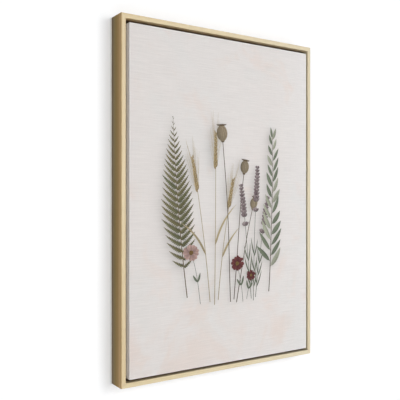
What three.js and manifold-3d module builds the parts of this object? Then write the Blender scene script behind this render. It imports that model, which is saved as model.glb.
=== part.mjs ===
// Stretched canvas print in a wooden floater frame, hung on a wall.
// Millimetres. +X to the viewer's right, +Z up, the picture faces -Y, the wall is the plane y = 0.
// The origin is the hanging point: the middle notch of the sawtooth hanger, on the wall plane.
import * as THREE from 'three';
import { mergeVertices } from 'three/addons/utils/BufferGeometryUtils.js';
import Module from 'manifold-3d';

// ---------------------------------------------------------------- driving dimensions
const NOMINAL_W = 400; // panel size that the frame is cut for
const NOMINAL_H = 600;
const CANVAS_W = 400; // stretched panel, width over the canvas
const CANVAS_H = 599.4; // stretched panel, height over the canvas: a shade under nominal
const FLOAT_GAP = 5.3; // open gap between a nominal panel and the frame
const LIP_W = 8.2; // frame rail, width of its face
const FRAME_DEPTH = 39; // frame rail, front to back
const FOOT_T = 9; // thickness of the rail's foot behind the panel
const FOOT_OVER = 14; // how far the foot reaches behind the panel
const OUTER_ARRIS = 1.4; // rounding of the rail's outer front edge
const INNER_ARRIS = 0.8; // rounding of the rail's inner front edge
const MITRE_GAP = 0.05; // each rail end stands this far off the mitre plane
const PAD_T = 2.5; // wall bumpers: the frame stands this far off the wall
const TOP_Z = 16; // frame's top edge above the hanging point

const CLOTH = 0.5; // canvas thickness
const FIT = 0.3; // clearance between touching pieces
const PROUD = 1.5; // canvas front stands this far in front of the rail's face
const PANEL_DROP = 0.75; // the panel is screwed in this much below the frame's middle
const PANEL_X = 0.35; // and this much to the right of it
const MARGIN = 30; // canvas turned on to the back of the bars
const MARGIN_ROOM = 0.8; // space between that margin and the rail's foot
const BAR_W = 40; // stretcher bar width

const SCREW_LEN = 22;
const SCREW_HEAD_R = 3.5;
const SCREW_R = 1.75;
const SCREW_IN = 8.5; // screw line, in from the panel's edge
const STAPLE_IN = 22; // staple line, in from the panel's edge
const STAPLE_W = 10;
const STAPLE_LEG = 8;
const STAPLE_WIRE_W = 1.2;
const STAPLE_WIRE_T = 0.6;

// ---------------------------------------------------------------- derived
const OUT_W = NOMINAL_W + 2 * (FLOAT_GAP + LIP_W); // 427
const OUT_H = NOMINAL_H + 2 * (FLOAT_GAP + LIP_W); // 627
const FOOT_W = LIP_W + FLOAT_GAP + FOOT_OVER;
const BACK_Y = -PAD_T; // back of the frame
const FRONT_Y = BACK_Y - FRAME_DEPTH; // face of the rails
const BOT_Z = TOP_Z - OUT_H;
const MID_Z = (TOP_Z + BOT_Z) / 2;
const PANEL_Z = MID_Z - PANEL_DROP; // middle of the stretched panel
const CLOTH_FRONT_Y = FRONT_Y - PROUD;
const CLOTH_BACK_Y = BACK_Y - FOOT_T - MARGIN_ROOM;
const BAR_FRONT_Y = CLOTH_FRONT_Y + CLOTH + FIT;
const BAR_BACK_Y = CLOTH_BACK_Y - CLOTH - FIT;
const BAR_D = BAR_BACK_Y - BAR_FRONT_Y;
const BAR_OUT_W = CANVAS_W - 2 * (CLOTH + FIT);
const BAR_OUT_H = CANVAS_H - 2 * (CLOTH + FIT);

// ---------------------------------------------------------------- solids, joins and cuts
const wasm = await Module();
wasm.setup();

function solid(geometry, matrix) {
  let g = geometry.clone();
  g.deleteAttribute('normal');
  g.deleteAttribute('uv');
  if (matrix) g.applyMatrix4(matrix);
  g = mergeVertices(g, 1e-5);
  const index = g.index.array;
  return new wasm.Manifold(new wasm.Mesh({
    numProp: 3,
    vertProperties: new Float32Array(g.attributes.position.array),
    triVerts: new Uint32Array(index),
  }));
}

function geometryOf(manifold) {
  const m = manifold.getMesh();
  const g = new THREE.BufferGeometry();
  const p = new Float32Array(m.numVert * 3);
  for (let i = 0; i < m.numVert; i++) {
    for (let k = 0; k < 3; k++) p[3 * i + k] = m.vertProperties[m.numProp * i + k];
  }
  g.setAttribute('position', new THREE.BufferAttribute(p, 3));
  g.setIndex(new THREE.BufferAttribute(new Uint32Array(m.triVerts), 1));
  g.computeVertexNormals();
  return g;
}

// Cuts each cutter (a placed mesh) out of a placed mesh, in that mesh's own frame.
function cut(mesh, cutters) {
  mesh.updateMatrixWorld(true);
  const inverse = mesh.matrixWorld.clone().invert();
  let body = solid(mesh.geometry);
  for (const c of cutters) {
    c.updateMatrixWorld(true);
    body = body.subtract(solid(c.geometry, inverse.clone().multiply(c.matrixWorld)));
  }
  mesh.geometry = geometryOf(body);
}

function paint(hex, roughness, metalness = 0) {
  return new THREE.MeshStandardMaterial({ color: hex, roughness, metalness });
}
const FRAME_WOOD = paint(0xdecda8, 0.45);
const PINE = paint(0xe2c89b, 0.65);
const CANVAS = paint(0xdcd7d3, 0.9);
const STEEL = paint(0xb9bcc0, 0.35, 1);
const ZINC = paint(0xc9c3b0, 0.35, 1);
const BRASS = paint(0xb99a55, 0.35, 1);
const RUBBER = paint(0x45433f, 0.75);

const object = new THREE.Group();
function add(name, geometry, material, x = 0, y = 0, z = 0, turn = 0) {
  const mesh = new THREE.Mesh(geometry, material);
  mesh.name = name;
  mesh.position.set(x, y, z);
  mesh.rotation.y = turn;
  object.add(mesh);
  return mesh;
}
function placed(geometry, x, y, z, turn = 0) {
  const mesh = new THREE.Mesh(geometry);
  mesh.position.set(x, y, z);
  mesh.rotation.y = turn;
  return mesh;
}

const HALF = Math.PI / 2;

// ---------------------------------------------------------------- mitred lengths
// A section in u (inward from the outer side) and v (back from the front), run along t and
// ended on the two 45 degree mitre planes.
function mitred(section, length, gap) {
  const shape = new THREE.Shape(section.map(([u, v]) => new THREE.Vector2(u, v)));
  const g = new THREE.ExtrudeGeometry(shape, { depth: 1, steps: 1, bevelEnabled: false });
  const p = g.attributes.position;
  for (let i = 0; i < p.count; i++) {
    const u = p.getX(i);
    p.setZ(i, p.getZ(i) < 0.5 ? u + gap : length - u - gap);
  }
  return g;
}

function arc(cu, cv, r, from, to, steps) {
  const points = [];
  for (let i = 0; i <= steps; i++) {
    const a = from + ((to - from) * i) / steps;
    points.push([cu + r * Math.cos(a), cv + r * Math.sin(a)]);
  }
  return points;
}

// L section: a tall thin lip and a foot at the back that carries the panel.
const railSection = [
  ...arc(OUTER_ARRIS, OUTER_ARRIS, OUTER_ARRIS, Math.PI, 1.5 * Math.PI, 4),
  ...arc(LIP_W - INNER_ARRIS, INNER_ARRIS, INNER_ARRIS, -HALF, 0, 3),
  [LIP_W, FRAME_DEPTH - FOOT_T],
  [FOOT_W - 0.5, FRAME_DEPTH - FOOT_T],
  [FOOT_W, FRAME_DEPTH - FOOT_T + 0.5],
  [FOOT_W, FRAME_DEPTH - 0.6],
  [FOOT_W - 0.6, FRAME_DEPTH],
  [0.6, FRAME_DEPTH],
  [0, FRAME_DEPTH - 0.6],
];

// Stretcher bar: a bead along the outer front edge, then a front face that falls away from the canvas.
const barSection = [
  [0, 1.2], [0.35, 0.35], [1.2, 0], [6, 0],
  [BAR_W - 1, 3.2], [BAR_W, 4.2],
  [BAR_W, BAR_D - 1], [BAR_W - 1, BAR_D],
  [0.8, BAR_D], [0, BAR_D - 0.8],
];

function four(prefix, section, w, h, x, y, mid, gap, material) {
  const zt = mid + h / 2;
  const zb = mid - h / 2;
  return {
    left: add(`${prefix}_left`, mitred(section, h, gap), material, x - w / 2, y, zb, 0),
    right: add(`${prefix}_right`, mitred(section, h, gap), material, x + w / 2, y, zt, Math.PI),
    top: add(`${prefix}_top`, mitred(section, w, gap), material, x - w / 2, y, zt, HALF),
    bottom: add(`${prefix}_bottom`, mitred(section, w, gap), material, x + w / 2, y, zb, -HALF),
  };
}

const rails = four('rail', railSection, OUT_W, OUT_H, 0, FRONT_Y, MID_Z, MITRE_GAP, FRAME_WOOD);
const bars = four('stretcher', barSection, BAR_OUT_W, BAR_OUT_H, PANEL_X, BAR_FRONT_Y, PANEL_Z, MITRE_GAP, PINE);

// ---------------------------------------------------------------- canvas
// One sheet over the front, round the four sides and on to the back of the bars.
function box(w, d, h) {
  return new THREE.BoxGeometry(w, d, h);
}
const clothDepth = CLOTH_BACK_Y - CLOTH_FRONT_Y;
const canvas = add('canvas', box(CANVAS_W, clothDepth, CANVAS_H), CANVAS,
  PANEL_X, (CLOTH_FRONT_Y + CLOTH_BACK_Y) / 2, PANEL_Z);
cut(canvas, [
  placed(box(CANVAS_W - 2 * CLOTH, clothDepth - 2 * CLOTH, CANVAS_H - 2 * CLOTH),
    PANEL_X, (CLOTH_FRONT_Y + CLOTH_BACK_Y) / 2, PANEL_Z),
  placed(box(CANVAS_W - 2 * MARGIN, 4, CANVAS_H - 2 * MARGIN), PANEL_X, CLOTH_BACK_Y, PANEL_Z),
]);

const cutters = { left: [], right: [], top: [], bottom: [] }; // for the rails
const barCutters = { left: [], right: [], top: [], bottom: [] }; // for the stretcher bars
const canvasCutters = [];

// ---------------------------------------------------------------- screws
// Countersunk, driven from the back through the rail's foot and the canvas margin into the bars.
function screwProfile(grow, top) {
  return [
    [0, -SCREW_LEN - grow], [0.5 + grow, -SCREW_LEN - grow], [SCREW_R + grow, -SCREW_LEN + 4],
    [SCREW_R + grow, -2.1 - grow], [SCREW_HEAD_R + grow, -0.35], [SCREW_HEAD_R + grow, top], [0, top],
  ].map(([r, y]) => new THREE.Vector2(r, y));
}
const screwHole = new THREE.LatheGeometry(screwProfile(FIT, 1), 16);
const screwBody = placed(new THREE.LatheGeometry(screwProfile(0, 0), 16), 0, 0, 0);
cut(screwBody, [
  placed(box(4.2, 2.4, 0.9), 0, 0, 0),
  placed(box(0.9, 2.4, 4.2), 0, 0, 0),
]);
const edgeX = CANVAS_W / 2 - SCREW_IN;
const edgeZ = CANVAS_H / 2 - SCREW_IN;
const screws = [
  ['left', 'upper', PANEL_X - edgeX, PANEL_Z + 165, 0.3], ['left', 'lower', PANEL_X - edgeX, PANEL_Z - 165, 1.1],
  ['right', 'upper', PANEL_X + edgeX, PANEL_Z + 165, 0.8], ['right', 'lower', PANEL_X + edgeX, PANEL_Z - 165, 0.1],
  ['top', 'left', -112, PANEL_Z + edgeZ, 0.6], ['top', 'right', 112, PANEL_Z + edgeZ, 1.3],
  ['bottom', 'left', -112, PANEL_Z - edgeZ, 0.2], ['bottom', 'right', 112, PANEL_Z - edgeZ, 0.9],
];
for (const [side, end, x, z, turn] of screws) {
  add(`screw_${side}_${end}`, screwBody.geometry.clone(), ZINC, x, BACK_Y - 0.2, z, turn);
  const hole = placed(screwHole, x, BACK_Y - 0.2, z);
  cutters[side].push(hole);
  barCutters[side].push(hole);
  canvasCutters.push(hole);
}

// ---------------------------------------------------------------- staples
const stapleShape = new THREE.Shape([
  [-STAPLE_W / 2, -STAPLE_LEG], [-STAPLE_W / 2 + STAPLE_WIRE_T, -STAPLE_LEG + 0.8],
  [-STAPLE_W / 2 + STAPLE_WIRE_T, 0], [STAPLE_W / 2 - STAPLE_WIRE_T, 0],
  [STAPLE_W / 2 - STAPLE_WIRE_T, -STAPLE_LEG + 0.8], [STAPLE_W / 2, -STAPLE_LEG],
  [STAPLE_W / 2, STAPLE_WIRE_T - 0.4], [STAPLE_W / 2 - 0.4, STAPLE_WIRE_T],
  [-STAPLE_W / 2 + 0.4, STAPLE_WIRE_T], [-STAPLE_W / 2, STAPLE_WIRE_T - 0.4],
].map(([x, y]) => new THREE.Vector2(x, y)));
const stapleBody = new THREE.ExtrudeGeometry(stapleShape, { depth: STAPLE_WIRE_W, steps: 1, bevelEnabled: false });
stapleBody.translate(0, 0, -STAPLE_WIRE_W / 2);
const legHole = box(STAPLE_WIRE_T + 0.5, STAPLE_LEG + 2, STAPLE_WIRE_W + 0.5);
const crownY = CLOTH_BACK_Y + 0.1;

// Each row's slight tilts, in degrees: staples shot by hand are never quite square.
const TILT = [4, -3, 1, 6, -2, 3, -5, 2];
function stapleRow(side, count, span) {
  const across = (side === 'left' || side === 'right');
  const offset = (across ? CANVAS_W : CANVAS_H) / 2 - STAPLE_IN;
  const sign = (side === 'left' || side === 'bottom') ? -1 : 1;
  for (let i = 0; i < count; i++) {
    const along = ((i + 0.5) / count - 0.5) * span;
    const tilt = TILT[(i * 3 + (sign + 1) + (across ? 0 : 1)) % TILT.length] * Math.PI / 180;
    const x = PANEL_X + (across ? sign * offset : along);
    const z = across ? PANEL_Z + along : PANEL_Z + sign * offset;
    const turn = (across ? HALF : 0) + tilt;
    add(`staple_${side}_${i + 1}`, stapleBody.clone(), STEEL, x, crownY, z, turn);
    for (const end of [-1, 1]) {
      const d = end * (STAPLE_W - STAPLE_WIRE_T) / 2;
      const hole = placed(legHole, x + d * Math.cos(turn), crownY - STAPLE_LEG / 2 + 0.7, z - d * Math.sin(turn), turn);
      barCutters[side].push(hole);
      canvasCutters.push(hole);
    }
  }
}
stapleRow('left', 8, 560);
stapleRow('right', 8, 560);
stapleRow('top', 5, 350);
stapleRow('bottom', 5, 350);

// ---------------------------------------------------------------- mitre wedge nails
// Thin steel chevrons across each mitre, pressed in flush from the back.
const VNAIL_H = 7;
function chevron(grow, height) {
  const g = grow;
  const shape = new THREE.Shape([
    [0 - 1.35 * g, 0], [4 - 1.0 * g, 4.5 + g], [4.95 + 1.0 * g, 4.5 + g],
    [0.95 + 1.35 * g, 0], [4.95 + 1.0 * g, -4.5 - g], [4 - 1.0 * g, -4.5 - g],
  ].map(([x, y]) => new THREE.Vector2(x, y)));
  const geo = new THREE.ExtrudeGeometry(shape, { depth: height, steps: 1, bevelEnabled: false });
  geo.rotateX(-HALF);
  return geo; // the chevron's point is at the origin and opens along +X; its height is along +Y
}
const vnailBody = chevron(0, VNAIL_H);
const vnailSlot = chevron(FIT, VNAIL_H + 2);
const corners = [
  ['top_left', -1, 1, 45, ['top', 'left']], ['top_right', 1, 1, 135, ['top', 'right']],
  ['bottom_right', 1, -1, 225, ['bottom', 'right']], ['bottom_left', -1, -1, -45, ['bottom', 'left']],
];
for (const [name, sx, sz, deg, sides] of corners) {
  for (const [where, u] of [['outer', 6.5], ['inner', 16.5]]) {
    const x = sx * (OUT_W / 2 - u);
    const z = MID_Z + sz * (OUT_H / 2 - u);
    const turn = deg * Math.PI / 180;
    add(`vnail_${name}_${where}`, vnailBody.clone(), STEEL, x, BACK_Y - VNAIL_H - 0.15, z, turn);
    for (const s of sides) cutters[s].push(placed(vnailSlot, x, BACK_Y - VNAIL_H - 0.45, z, turn));
  }
}

// ---------------------------------------------------------------- sawtooth hanger
const HANG_LEN = 46;
const HANG_H = 9;
const HANG_T = 0.8;
const TOOTH_PITCH = 2.4;
const TOOTH_D = 1.6;
const HANG_NAIL_X = 18.5;
const hangerZ = -TOOTH_D; // lower edge: the middle notch tops out at z = 0
const flatY = BACK_Y + 0.1;
const raisedY = -0.2 - HANG_T;
const hangerShape = new THREE.Shape([
  [-HANG_LEN / 2, flatY], [-14, flatY], [-12, raisedY], [12, raisedY], [14, flatY], [HANG_LEN / 2, flatY],
  [HANG_LEN / 2, flatY + HANG_T], [13.7, flatY + HANG_T], [11.7, raisedY + HANG_T],
  [-11.7, raisedY + HANG_T], [-13.7, flatY + HANG_T], [-HANG_LEN / 2, flatY + HANG_T],
].map(([x, y]) => new THREE.Vector2(x, y)));
const hanger = add('hanger',
  new THREE.ExtrudeGeometry(hangerShape, { depth: HANG_H, steps: 1, bevelEnabled: false }), BRASS, 0, 0, hangerZ);
const notchShape = new THREE.Shape([
  [-TOOTH_PITCH / 2 + 0.1, -0.4], [TOOTH_PITCH / 2 - 0.1, -0.4], [0.15, TOOTH_D], [-0.15, TOOTH_D],
].map(([x, y]) => new THREE.Vector2(x, y)));
const notch = new THREE.ExtrudeGeometry(notchShape, { depth: 6, steps: 1, bevelEnabled: false });
notch.rotateX(HALF); // the notch's height is now along +Z, its length along -Y
const hangerCuts = [];
for (let i = -4; i <= 4; i++) hangerCuts.push(placed(notch, i * TOOTH_PITCH, 2, hangerZ));
for (const s of [-1, 1]) {
  hangerCuts.push(placed(new THREE.CylinderGeometry(1.0, 1.0, 6, 14), s * HANG_NAIL_X, flatY, hangerZ + HANG_H / 2));
  // rounded tab corners
  for (const e of [0, 1]) {
    const c = placed(box(2.6, 6, 2.6), s * HANG_LEN / 2, flatY, hangerZ + e * HANG_H);
    c.rotation.y = Math.PI / 4;
    hangerCuts.push(c);
  }
}
cut(hanger, hangerCuts);

// Its two nails: a low round head on the tab, a shank in the rail's foot.
function nailProfile(grow, headTop) {
  return [
    [0, -7 - grow], [0.3 + grow, -7 - grow], [0.7 + grow, -5.6], [0.7 + grow, 0], [1.75 + grow, 0],
    [1.6 + grow, headTop * 0.6], [0.9 + grow, headTop], [0, headTop],
  ].map(([r, y]) => new THREE.Vector2(r, y));
}
const nailBody = new THREE.LatheGeometry(nailProfile(0, 0.8), 14);
const nailHole = new THREE.LatheGeometry([
  [0, -7.4], [0.95, -7.4], [0.95, 1], [0, 1],
].map(([r, y]) => new THREE.Vector2(r, y)), 14);
for (const [s, end] of [[-1, 'left'], [1, 'right']]) {
  const y = flatY + HANG_T + 0.1;
  const z = hangerZ + HANG_H / 2;
  add(`hanger_nail_${end}`, nailBody.clone(), BRASS, s * HANG_NAIL_X, y, z);
  cutters.top.push(placed(nailHole, s * HANG_NAIL_X, y, z));
}

// ---------------------------------------------------------------- wall bumpers
// Rubber pads on the back of the bottom rail: they keep the frame parallel to the wall.
const PAD_R = 6;
const PAD_X = OUT_W / 2 - 36;
const PAD_UP = 13.5;
const padProfile = [
  [0, -PAD_T + 0.1], [PAD_R - 0.2, -PAD_T + 0.1], [PAD_R, -PAD_T + 0.4], [PAD_R, -0.6], [PAD_R - 0.6, 0], [0, 0],
].map(([r, y]) => new THREE.Vector2(r, y));
for (const [s, end] of [[-1, 'left'], [1, 'right']]) {
  add(`bumper_${end}`, new THREE.LatheGeometry(padProfile, 24), RUBBER, s * PAD_X, 0, BOT_Z + PAD_UP);
}

// ---------------------------------------------------------------- holes for what goes through
for (const side of Object.keys(rails)) cut(rails[side], cutters[side]);
for (const side of Object.keys(bars)) cut(bars[side], barCutters[side]);
cut(canvas, canvasCutters);

export default object;
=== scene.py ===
"""Looks of a stretched canvas print in a light wood floater frame.

Metres, in the CAD frame: +X to the viewer's right, +Z up, the picture faces -Y, the wall is y = 0.
The print is a generic herbarium row drawn here from outlines: fern, barley, poppy heads, lavender,
a willow-leaved sprig and small daisies, as inked faces of the canvas mesh itself.
"""
import math
import bpy
import numpy as np
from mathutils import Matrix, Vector
from mathutils.geometry import delaunay_2d_cdt


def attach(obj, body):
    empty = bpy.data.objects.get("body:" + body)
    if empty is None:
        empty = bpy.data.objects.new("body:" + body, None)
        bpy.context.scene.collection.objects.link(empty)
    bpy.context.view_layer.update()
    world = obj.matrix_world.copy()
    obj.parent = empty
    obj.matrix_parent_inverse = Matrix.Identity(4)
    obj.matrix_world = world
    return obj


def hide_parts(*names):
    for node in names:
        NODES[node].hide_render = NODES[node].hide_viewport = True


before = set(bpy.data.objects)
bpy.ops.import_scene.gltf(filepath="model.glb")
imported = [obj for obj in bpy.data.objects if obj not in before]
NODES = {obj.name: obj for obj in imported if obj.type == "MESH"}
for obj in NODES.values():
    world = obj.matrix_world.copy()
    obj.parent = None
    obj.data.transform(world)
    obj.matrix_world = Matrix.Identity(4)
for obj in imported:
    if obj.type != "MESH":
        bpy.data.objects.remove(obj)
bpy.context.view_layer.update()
MM = 0.001

# ------------------------------------------------------------------ sizes, millimetres, as the CAD has them
PANEL_W, PANEL_H = 400.0, 599.4
MID_Z = -297.5          # middle of the frame
PANEL_X, PANEL_Z = 0.35, -298.25        # middle of the panel, set a little low and right in the frame
CLOTH_FRONT, CLOTH_BACK = -43.0, -12.3
RAIL_FRONT, RAIL_BACK = -41.5, -2.5
OUT_W, OUT_H = 427.0, 627.0
CLOTH_T = 0.42
EDGE_R = 1.6            # rounding where the canvas turns over the bar's edge
BACK_R = 1.2
MARGIN = 30.0
FX, FZ = PANEL_W / 2 - EDGE_R, PANEL_H / 2 - EDGE_R   # half size of the flat front


def lin(r, g, b):
    """sRGB 0..255 to linear."""
    def f(c):
        c = c / 255.0
        return c / 12.92 if c <= 0.04045 else ((c + 0.055) / 1.055) ** 2.4
    return np.array([f(r), f(g), f(b)])


# ------------------------------------------------------------------ node helper
class Nodes:
    def __init__(self, name):
        self.mat = bpy.data.materials.new(name)
        self.mat.use_nodes = True
        self.tree = self.mat.node_tree
        self.bsdf = self.tree.nodes["Principled BSDF"]
        self.out = self.tree.nodes["Material Output"]

    def add(self, kind, inputs=None, **props):
        n = self.tree.nodes.new(kind)
        for k, v in props.items():
            setattr(n, k, v)
        for k, v in (inputs or {}).items():
            self.put(n, k, v)
        return n

    def put(self, node, key, value):
        sock = node.inputs[key]
        if isinstance(value, bpy.types.NodeSocket):
            self.tree.links.new(value, sock)
        elif isinstance(value, bpy.types.Node):
            self.tree.links.new(value.outputs[0], sock)
        else:
            sock.default_value = value

    def math(self, op, a, b=None, c=None, clamp=False):
        n = self.add("ShaderNodeMath", operation=op, use_clamp=clamp)
        for i, v in enumerate((a, b, c)):
            if v is not None:
                self.put(n, i, v)
        return n.outputs[0]

    def mapping(self, vec, scale=(1, 1, 1), loc=(0, 0, 0), rot=(0, 0, 0)):
        n = self.add("ShaderNodeMapping", {"Vector": vec, "Scale": scale, "Location": loc, "Rotation": rot})
        return n.outputs[0]

    def noise(self, vec, scale=1.0, detail=3.0, rough=0.5, dist=0.0):
        n = self.add("ShaderNodeTexNoise", {"Vector": vec, "Scale": scale, "Detail": detail,
                                            "Roughness": rough, "Distortion": dist})
        return n.outputs["Fac"] if "Fac" in n.outputs else n.outputs[0]

    def ramp(self, fac, stops, interp="LINEAR"):
        n = self.add("ShaderNodeValToRGB", {"Fac": fac})
        r = n.color_ramp
        r.interpolation = interp
        while len(r.elements) < len(stops):
            r.elements.new(0.5)
        for e, (p, c) in zip(r.elements, stops):
            e.position = p
            e.color = (*c, 1.0)
        return n.outputs["Color"]

    def span(self, value, a, b, lo=0.0, hi=1.0, smooth=False):
        n = self.add("ShaderNodeMapRange", {"Value": value, "From Min": a, "From Max": b, "To Min": lo, "To Max": hi})
        n.interpolation_type = "SMOOTHSTEP" if smooth else "LINEAR"
        return n.outputs["Result"]

    def mix(self, fac, a, b, blend="MIX"):
        n = self.add("ShaderNodeMix", data_type="RGBA", blend_type=blend)
        self.put(n, 0, fac)
        for i, v in ((6, a), (7, b)):
            if isinstance(v, (tuple, list, np.ndarray)):
                n.inputs[i].default_value = (*[float(x) for x in v[:3]], 1.0)
            else:
                self.put(n, i, v)
        return n.outputs[2]

    def bump(self, height, strength, distance, normal=None):
        n = self.add("ShaderNodeBump", {"Height": height, "Strength": strength, "Distance": distance})
        if normal is not None:
            self.put(n, "Normal", normal)
        return n.outputs[0]


# ------------------------------------------------------------------ wood, metal, rubber
def grained(vec_nodes, axis, across, along, loc=(0, 0, 0)):
    """Coordinates stretched along one axis, in cycles a metre."""
    s = [across] * 3
    s[axis] = along
    return vec_nodes.mapping(COORD[vec_nodes], scale=tuple(s), loc=loc)


COORD = {}


def object_coords(n):
    COORD[n] = n.add("ShaderNodeTexCoord").outputs["Object"]
    return COORD[n]


# painted light and shade for each rail's rebate, by depth: lighter near the front on some rails, darker deeper in where
# the gap is in shade
REBATE_LIGHT_SHADE_RIGHT = [(0.0, (0.90, 0.91, 0.89)), (0.10, (0.84, 0.85, 0.81)), (0.26, (0.68, 0.67, 0.62)),
              (0.52, (0.35, 0.335, 0.31)), (1.0, (0.22, 0.20, 0.18))]
REBATE_LIGHT_SHADE_LEFT = [(0.0, (1.0, 1.02, 1.08)), (0.08, (1.12, 1.16, 1.30)), (0.38, (1.10, 1.17, 1.38)), (0.54, (1.0, 1.05, 1.20)),
              (0.72, (0.62, 0.62, 0.66)), (1.0, (0.34, 0.32, 0.32))]
REBATE_LIGHT_SHADE_TOP = [(0.0, (1.0, 1.0, 1.0)), (0.08, (1.18, 1.14, 1.10)), (0.25, (1.18, 1.09, 1.02)), (0.35, (0.78, 0.68, 0.61)),
             (0.44, (0.33, 0.267, 0.228)), (0.54, (0.23, 0.18, 0.15)), (1.0, (0.24, 0.19, 0.16))]
REBATE_LIGHT_SHADE_BOTTOM = [(0.0, (1.0, 1.0, 1.0)), (0.05, (0.86, 0.86, 0.88)), (0.11, (0.70, 0.69, 0.71)), (0.26, (0.51, 0.465, 0.49)),
                (0.46, (0.22, 0.185, 0.19)), (1.0, (0.22, 0.18, 0.18))]


def frame_wood(name, axis, seed, across, sign, outer, rebate_light_shade_stops, painted_light_tint=(1.0, 1.0, 1.0), rebate_gloss=0.42):
    """Pale straight-grained wood under a satin lacquer: broad soft figure, fine fibre, short pores.

    The boards go paler and cooler from the left rail to the right one, a painted light from the key lamp's side, and
    one rail gets a lighter copy, a painted light too.
    The outer side is a deeper honey tone with painted light and shade on it: paler at the front arris, darker and
    greyer to the back, a painted shadow where it meets the wall.
    across, sign and outer place that side: the coordinate it is measured on, the way out, and where it stands in
    metres.
    """
    n = Nodes(name)
    co = object_coords(n)
    shift = (seed * 1.7, seed * 0.9, seed * 2.3)
    broad = n.noise(grained(n, axis, 150, 3.2, shift), 1.0, 3.0, 0.55, 0.35)
    fibre = n.noise(grained(n, axis, 900, 11, shift), 1.0, 4.0, 0.6)
    tone = n.noise(grained(n, axis, 14, 2.4, shift), 1.0, 2.0, 0.5)
    pores = n.noise(grained(n, axis, 2100, 60, shift), 1.0, 2.0, 0.5)
    col = n.ramp(broad, [(0.28, tuple(lin(206, 183, 140))), (0.5, tuple(lin(218, 198, 158))),
                         (0.72, tuple(lin(225, 208, 171)))])
    col = n.mix(n.span(fibre, 0.3, 0.75, 0.0, 0.42), col, lin(228, 213, 180))
    col = n.mix(n.span(tone, 0.35, 0.75, 0.0, 0.30, True), col, lin(212, 189, 147))
    pore = n.span(pores, 0.62, 0.74, 0.0, 0.45, True)
    col = n.mix(pore, col, lin(172, 143, 100))
    sep = n.add("ShaderNodeSeparateXYZ", {"Vector": co})
    # painted light: the wood pales and cools from the left rail to the right one, towards the key lamp, and a given
    # factor makes a lighter copy of one rail
    painted_light_across = n.mix(n.span(sep.outputs[0], -0.2135, 0.2135), np.array((0.955, 0.945, 0.91)) * painted_light_tint, np.array((1.02, 1.09, 1.24)) * painted_light_tint)
    col = n.mix(1.0, col, painted_light_across, "MULTIPLY")
    inward = n.math("MULTIPLY_ADD", sep.outputs[across], -sign, sign * outer)      # in from the outer side
    back = n.math("SUBTRACT", sep.outputs[1], RAIL_FRONT * MM)                     # back from the face
    on_side = n.math("MULTIPLY", n.span(n.math("SUBTRACT", back, inward), -0.0014, 0.0005, 0.0, 1.0, True),
                     n.span(inward, 0.0014, 0.0019, 1.0, 0.0))
    # painted light and shade on the outer side: a deeper honey tone, paler near the front arris, then darker and greyer
    # towards the back where the wall's shadow falls
    side_tone_and_shade = n.ramp(n.span(back, 0.0, 0.039), [(0.0, (0.89, 0.79, 0.655)), (0.12, (1.07, 0.925, 0.75)), (0.22, (1.03, 0.86, 0.67)),
                                             (0.32, (0.765, 0.605, 0.42)), (0.43, (0.71, 0.57, 0.34)), (0.60, (0.61, 0.53, 0.34)),
                                             (0.74, (0.605, 0.565, 0.46)), (0.86, (0.455, 0.43, 0.45)), (1.0, (0.45, 0.44, 0.50))])
    col = n.mix(on_side, col, n.mix(1.0, col, side_tone_and_shade, "MULTIPLY"))
    # the rebate that the panel stands in is painted darker the deeper it goes, a painted shade for the gap; near the
    # front some rails are painted lighter, a painted light
    rebate_light_shade = n.ramp(n.span(back, 0.0, 0.0301), rebate_light_shade_stops)
    in_rebate = n.math("MULTIPLY", n.span(inward, 0.0078, 0.0081), n.span(back, 0.0303, 0.0308, 1.0, 0.0))
    col = n.mix(in_rebate, col, n.mix(1.0, col, rebate_light_shade, "MULTIPLY"))
    n.put(n.bsdf, "Base Color", col)
    n.put(n.bsdf, "Roughness", n.span(fibre, 0.2, 0.8, 0.40, 0.54))
    if rebate_gloss == 0.42:
        n.bsdf.inputs["Specular IOR Level"].default_value = 0.42
    else:
        n.put(n.bsdf, "Specular IOR Level", n.span(in_rebate, 0.0, 1.0, 0.42, rebate_gloss))
    height = n.math("SUBTRACT", fibre, n.math("MULTIPLY", pore, 0.9))
    n.put(n.bsdf, "Normal", n.bump(height, 0.22, 0.00025))
    return n.mat


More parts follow.
